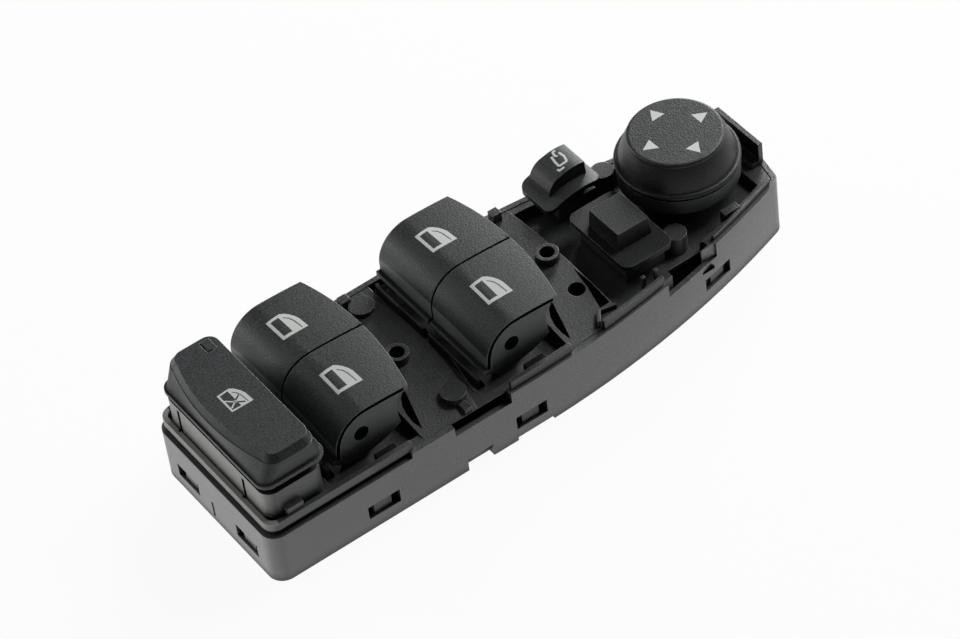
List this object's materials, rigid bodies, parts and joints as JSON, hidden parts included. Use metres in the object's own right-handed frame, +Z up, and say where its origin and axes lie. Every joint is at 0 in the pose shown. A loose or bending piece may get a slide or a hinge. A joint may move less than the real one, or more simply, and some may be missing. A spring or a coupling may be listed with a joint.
{
  "type": "power window switch",
  "caption": "Door switch pack with rocking window switches, a child-lock button, mirror joystick, selector slider and fold button.",
  "frame": {"origin": "under the middle of the pack's bounding box, on the surface that it stands on", "axes": "+X along the pack from the child-lock button to the mirror joystick, +Y across it to the rocker side away from the camera, +Z up"},
  "size_m": [0.198, 0.065, 0.0444],
  "materials": {
    "housing_plastic": "fine grain",
    "deck_plastic": "fine grain",
    "soft_paint": "soft paint with light icons",
    "lens_plastic": "smooth",
    "plunger_plastic": "smooth",
    "header_plastic": "smooth",
    "board_laminate": "solder resist",
    "contact_rubber": "smooth",
    "pin_metal": "tin plated"
  },
  "bodies": {
    "housing": {"lower_housing": "housing_plastic", "upper_housing": "deck_plastic", "circuit_board": "board_laminate", "contact_mat": "contact_rubber", "connector_header": "header_plastic", "terminal_pins": "pin_metal"},
    "rear_left_rocker": {"rear_left_rocker": "soft_paint"},
    "rear_left_push_plunger": {"rear_left_push_plunger": "plunger_plastic"},
    "rear_left_pull_plunger": {"rear_left_pull_plunger": "plunger_plastic"},
    "rear_right_rocker": {"rear_right_rocker": "soft_paint"},
    "rear_right_push_plunger": {"rear_right_push_plunger": "plunger_plastic"},
    "rear_right_pull_plunger": {"rear_right_pull_plunger": "plunger_plastic"},
    "front_left_rocker": {"front_left_rocker": "soft_paint"},
    "front_left_push_plunger": {"front_left_push_plunger": "plunger_plastic"},
    "front_left_pull_plunger": {"front_left_pull_plunger": "plunger_plastic"},
    "front_right_rocker": {"front_right_rocker": "soft_paint"},
    "front_right_push_plunger": {"front_right_push_plunger": "plunger_plastic"},
    "front_right_pull_plunger": {"front_right_pull_plunger": "plunger_plastic"},
    "child_lock_button": {"child_lock_button": "soft_paint", "child_lock_lens": "lens_plastic"},
    "child_lock_plunger": {"child_lock_plunger": "plunger_plastic"},
    "gimbal_ring": {"gimbal_ring": "plunger_plastic"},
    "mirror_knob": {"mirror_knob": "soft_paint", "mirror_knob_skirt": "deck_plastic"},
    "mirror_select_slider": {"mirror_select_slider": "soft_paint"},
    "mirror_fold_button": {"mirror_fold_button": "soft_paint"}
  },
  "joints": [
    {"name": "rear_left_rocker_hinge", "type": "hinge", "parent": "housing", "child": "rear_left_rocker", "pos_m": [-0.0598, 0.01715, 0.028], "axis": [0, 1, 0], "range_deg": [-7, 7], "stiffness_Nm_per_rad": 0.5},
    {"name": "rear_left_push_slide", "type": "slide", "parent": "housing", "child": "rear_left_push_plunger", "axis": [0, 0, 1], "range_m": [-0.0012, 0.0012]},
    {"name": "rear_left_pull_slide", "type": "slide", "parent": "housing", "child": "rear_left_pull_plunger", "axis": [0, 0, 1], "range_m": [-0.0006, 0.0006]},
    {"name": "rear_right_rocker_hinge", "type": "hinge", "parent": "housing", "child": "rear_right_rocker", "pos_m": [-0.0598, -0.01025, 0.028], "axis": [0, 1, 0], "range_deg": [-7, 7], "stiffness_Nm_per_rad": 0.5},
    {"name": "rear_right_push_slide", "type": "slide", "parent": "housing", "child": "rear_right_push_plunger", "axis": [0, 0, 1], "range_m": [-0.0012, 0.0012]},
    {"name": "rear_right_pull_slide", "type": "slide", "parent": "housing", "child": "rear_right_pull_plunger", "axis": [0, 0, 1], "range_m": [-0.0006, 0.0006]},
    {"name": "front_left_rocker_hinge", "type": "hinge", "parent": "housing", "child": "front_left_rocker", "pos_m": [-0.007, 0.01715, 0.028], "axis": [0, 1, 0], "range_deg": [-7, 7], "stiffness_Nm_per_rad": 0.5},
    {"name": "front_left_push_slide", "type": "slide", "parent": "housing", "child": "front_left_push_plunger", "axis": [0, 0, 1], "range_m": [-0.0012, 0.0012]},
    {"name": "front_left_pull_slide", "type": "slide", "parent": "housing", "child": "front_left_pull_plunger", "axis": [0, 0, 1], "range_m": [-0.0006, 0.0006]},
    {"name": "front_right_rocker_hinge", "type": "hinge", "parent": "housing", "child": "front_right_rocker", "pos_m": [-0.007, -0.01025, 0.028], "axis": [0, 1, 0], "range_deg": [-7, 7], "stiffness_Nm_per_rad": 0.5},
    {"name": "front_right_push_slide", "type": "slide", "parent": "housing", "child": "front_right_push_plunger", "axis": [0, 0, 1], "range_m": [-0.0012, 0.0012]},
    {"name": "front_right_pull_slide", "type": "slide", "parent": "housing", "child": "front_right_pull_plunger", "axis": [0, 0, 1], "range_m": [-0.0006, 0.0006]},
    {"name": "child_lock_press", "type": "slide", "parent": "housing", "child": "child_lock_button", "axis": [0, 0, 1], "range_m": [-0.002, 0], "stiffness_N_per_m": 1500},
    {"name": "child_lock_plunger_slide", "type": "slide", "parent": "housing", "child": "child_lock_plunger", "axis": [0, 0, 1], "range_m": [-0.002, 0]},
    {"name": "gimbal_tilt_x", "type": "hinge", "parent": "housing", "child": "gimbal_ring", "pos_m": [0.0749, 0.0045, 0.0176], "axis": [1, 0, 0], "range_deg": [-5, 5], "stiffness_Nm_per_rad": 0.6},
    {"name": "knob_tilt_y", "type": "hinge", "parent": "gimbal_ring", "child": "mirror_knob", "pos_m": [0.0749, 0.0045, 0.0176], "axis": [0, 1, 0], "range_deg": [-5, 5], "stiffness_Nm_per_rad": 0.6},
    {"name": "mirror_select_slide", "type": "slide", "parent": "housing", "child": "mirror_select_slider", "axis": [0, 1, 0], "range_m": [-0.0025, 0.0025]},
    {"name": "mirror_fold_press", "type": "slide", "parent": "housing", "child": "mirror_fold_button", "axis": [0, 0, 1], "range_m": [-0.0018, 0], "stiffness_N_per_m": 1600}
  ],
  "couplings": [
    {"joint": "rear_left_push_slide", "follows": "rear_left_rocker_hinge", "m_per_rad": -0.009},
    {"joint": "rear_left_pull_slide", "follows": "rear_left_rocker_hinge", "m_per_rad": 0.0045},
    {"joint": "rear_right_push_slide", "follows": "rear_right_rocker_hinge", "m_per_rad": -0.009},
    {"joint": "rear_right_pull_slide", "follows": "rear_right_rocker_hinge", "m_per_rad": 0.0045},
    {"joint": "front_left_push_slide", "follows": "front_left_rocker_hinge", "m_per_rad": -0.009},
    {"joint": "front_left_pull_slide", "follows": "front_left_rocker_hinge", "m_per_rad": 0.0045},
    {"joint": "front_right_push_slide", "follows": "front_right_rocker_hinge", "m_per_rad": -0.009},
    {"joint": "front_right_pull_slide", "follows": "front_right_rocker_hinge", "m_per_rad": 0.0045},
    {"joint": "child_lock_plunger_slide", "follows": "child_lock_press", "ratio": 1}
  ]
}
